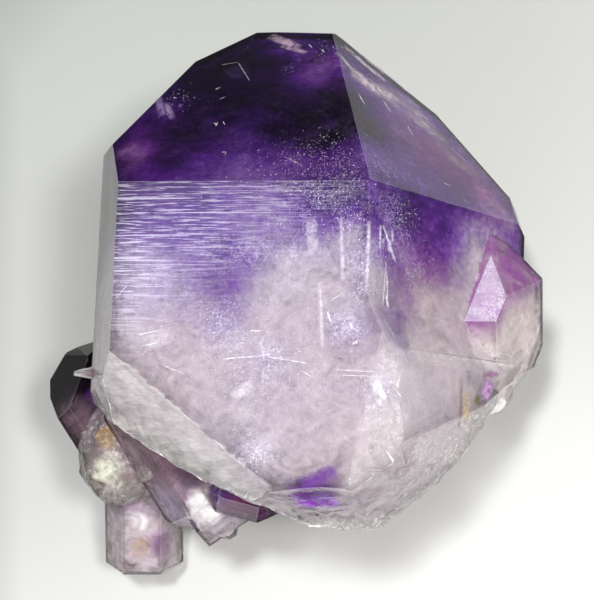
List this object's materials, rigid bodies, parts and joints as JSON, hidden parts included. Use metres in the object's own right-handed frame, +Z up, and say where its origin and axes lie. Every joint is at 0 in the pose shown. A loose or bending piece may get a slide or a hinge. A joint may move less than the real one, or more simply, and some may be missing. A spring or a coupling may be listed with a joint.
{
  "type": "amethyst crystal",
  "caption": "Stout amethyst point with a dark violet tip, a pale lower body and a broken base, grown together with smaller crystals at its foot and right side.",
  "frame": {"origin": "middle of the bottom of the bounding box, on the plane of the prism face that it lies on", "axes": "+Y along the large crystal's long axis towards its tip, +Z up out of its widest prism face, +X towards the crystal grown on its right side"},
  "size_m": [0.0632, 0.0666, 0.0425],
  "materials": {
    "amethyst": "natural crystal faces: glassy, finely striated across on the prism faces, with rough broken quartz at the base"
  },
  "bodies": {
    "root": {"amethyst_crystal": "amethyst"}
  },
  "joints": []
}
